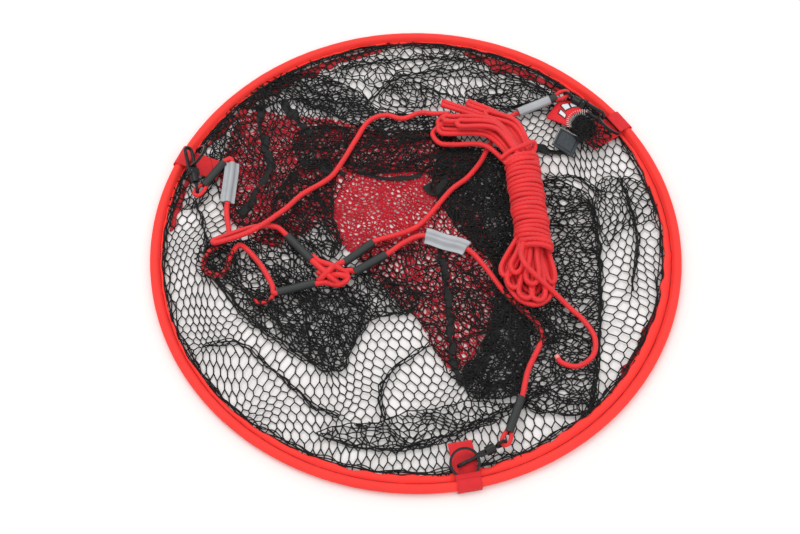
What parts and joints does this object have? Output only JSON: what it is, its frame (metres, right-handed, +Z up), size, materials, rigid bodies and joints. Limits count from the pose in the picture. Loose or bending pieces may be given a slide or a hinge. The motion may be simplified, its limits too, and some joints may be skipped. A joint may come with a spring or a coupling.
{
  "type": "folding drop net",
  "caption": "Folding crab drop net: sleeved spring hoop, collapsed net bag, clips on tabs, cord bridle and haul rope.",
  "frame": {"origin": "centre of the hoop, on the ground it lies on", "axes": "+Z up, out of the hoop; +X to the right and +Y away from the front tab; the row lies flat as collapsed"},
  "size_m": [0.5999, 0.6, 0.0431],
  "materials": {
    "spring_steel": "bright drawn spring wire",
    "red_fabric": "woven polyester, slightly glossy",
    "red_thread": "polyester sewing thread",
    "black_net": "knotless polyester net, coarse cells",
    "red_net": "knotless polyester net, fine cells",
    "black_tape": "folded woven binding tape",
    "red_webbing": "plain-woven polyester webbing",
    "black_metal": "black-coated, satin",
    "pin_steel": "plain steel",
    "shrink_tube": "heat-shrunk polyolefin",
    "red_cord": "braided polyester cord",
    "reflective": "retro-reflective tape",
    "loop_tape": "loop side of hook-and-loop tape",
    "hook_tape": "hook side of hook-and-loop tape"
  },
  "bodies": {
    "net_floor": {"floor_panel": "red_net", "floor_seam_tape": "black_tape"},
    "hoop": {"hoop_spring": "spring_steel", "hoop_ferrule": "spring_steel", "rim_sleeve": "red_fabric", "sleeve_stitching": "red_thread", "net_wall": "black_net", "wall_seam_tape_left": "black_tape", "wall_seam_tape_right": "black_tape", "tab_front": "red_webbing", "tab_right": "red_webbing", "tab_left": "red_webbing", "bridle_cord_front": "red_cord", "bridle_cord_right": "red_cord", "bridle_cord_left": "red_cord", "reflective_sleeve_front": "reflective", "reflective_sleeve_right": "reflective", "reflective_sleeve_left": "reflective", "strap_anchor": "red_webbing", "strap_patch": "red_webbing", "strap_loop_tape": "loop_tape"},
    "strap_tail": {"strap_hook_tape": "hook_tape"},
    "knot": {"bridle_knot": "red_cord", "knot_tube_front": "shrink_tube", "knot_tube_right": "shrink_tube", "knot_tube_left": "shrink_tube", "knot_tube_haul": "shrink_tube"},
    "hank": {"haul_rope_hank": "red_cord", "haul_rope_tail": "red_cord", "haul_rope_lead": "red_cord"},
    "ring_front": {"split_ring_front": "black_metal"},
    "clip_front": {"clip_body_front": "black_metal", "gate_pin_front": "pin_steel", "gate_spring_front": "pin_steel", "clip_tube_front": "shrink_tube"},
    "gate_front": {"clip_gate_front": "black_metal"},
    "eye_front": {"swivel_eye_front": "black_metal"},
    "ring_right": {"split_ring_right": "black_metal"},
    "clip_right": {"clip_body_right": "black_metal", "gate_pin_right": "pin_steel", "gate_spring_right": "pin_steel", "clip_tube_right": "shrink_tube"},
    "gate_right": {"clip_gate_right": "black_metal"},
    "eye_right": {"swivel_eye_right": "black_metal"},
    "ring_left": {"split_ring_left": "black_metal"},
    "clip_left": {"clip_body_left": "black_metal", "gate_pin_left": "pin_steel", "gate_spring_left": "pin_steel", "clip_tube_left": "shrink_tube"},
    "gate_left": {"clip_gate_left": "black_metal"},
    "eye_left": {"swivel_eye_left": "black_metal"}
  },
  "joints": [
    {"name": "hoop_lift", "type": "slide", "parent": "net_floor", "child": "hoop", "axis": [0, 0, 1], "range_m": [0, 0.28], "deforming": ["net_wall", "wall_seam_tape_left", "wall_seam_tape_right"]},
    {"name": "knot_lift", "type": "slide", "parent": "hoop", "child": "knot", "axis": [0.2738, 0.1441, 0.9509], "range_m": [0, 0.28], "deforming": ["bridle_cord_front", "bridle_cord_right", "bridle_cord_left", "reflective_sleeve_front", "reflective_sleeve_right", "reflective_sleeve_left"]},
    {"name": "hank_lift", "type": "slide", "parent": "knot", "child": "hank", "axis": [0, 0, 1], "range_m": [0, 0.25], "deforming": ["haul_rope_lead"]},
    {"name": "ring_front_lift", "type": "hinge", "parent": "hoop", "child": "ring_front", "pos_m": [0.05281, -0.2822, 0.0068], "axis": [0.9829, 0.184, 0], "range_deg": [0, 85], "deforming": ["tab_front"]},
    {"name": "clip_front_swing", "type": "hinge", "parent": "ring_front", "child": "clip_front", "pos_m": [0.06362, -0.26107, 0.0129], "axis": [0.0568, -0.3037, 0.9511], "range_deg": [-15, 5]},
    {"name": "gate_front_open", "type": "hinge", "parent": "clip_front", "child": "gate_front", "pos_m": [0.07, -0.25915, 0.01741], "axis": [0.4609, -0.837, -0.2949], "range_deg": [0, 8]},
    {"name": "eye_front_swivel", "type": "hinge", "parent": "clip_front", "child": "eye_front", "pos_m": [0.07845, -0.25326, 0.0139], "axis": [0.8831, 0.4654, 0.0592], "range_deg": [-60, 60]},
    {"name": "ring_right_lift", "type": "hinge", "parent": "hoop", "child": "ring_right", "pos_m": [0.23661, 0.16262, 0.0068], "axis": [-0.5664, 0.8241, 0], "range_deg": [0, 70], "deforming": ["tab_right"]},
    {"name": "clip_right_swing", "type": "hinge", "parent": "ring_right", "child": "clip_right", "pos_m": [0.21786, 0.16795, 0.01923], "axis": [0.5827, 0.4005, 0.7071], "range_deg": [-10, 12]},
    {"name": "gate_right_open", "type": "hinge", "parent": "clip_right", "child": "gate_right", "pos_m": [0.19994, 0.18691, 0.02098], "axis": [0.487, 0.5245, -0.6984], "range_deg": [0, 12]},
    {"name": "eye_right_swivel", "type": "hinge", "parent": "clip_right", "child": "eye_right", "pos_m": [0.19047, 0.19093, 0.01739], "axis": [-0.765, 0.642, -0.0513], "range_deg": [-60, 60]},
    {"name": "ring_left_lift", "type": "hinge", "parent": "hoop", "child": "ring_left", "pos_m": [-0.26329, 0.11448, 0.0068], "axis": [-0.3987, -0.9171, 0], "range_deg": [0, 65], "deforming": ["tab_left"]},
    {"name": "clip_left_swing", "type": "hinge", "parent": "ring_left", "child": "clip_left", "pos_m": [-0.25783, 0.09611, 0.0215], "axis": [-0.7025, 0.3055, 0.6428], "range_deg": [-10, 10]},
    {"name": "gate_left_open", "type": "hinge", "parent": "clip_left", "child": "gate_left", "pos_m": [-0.25917, 0.08826, 0.02265], "axis": [-0.6734, 0.0069, -0.7392], "range_deg": [0, 8]},
    {"name": "eye_left_swivel", "type": "hinge", "parent": "clip_left", "child": "eye_left", "pos_m": [-0.25373, 0.08029, 0.01762], "axis": [0.2438, -0.942, -0.2309], "range_deg": [-60, 60]},
    {"name": "strap_tail_lift", "type": "hinge", "parent": "hoop", "child": "strap_tail", "pos_m": [0.19631, 0.14393, 0.007], "axis": [-0.2756, 0.9613, 0], "range_deg": [0, 60]}
  ]
}
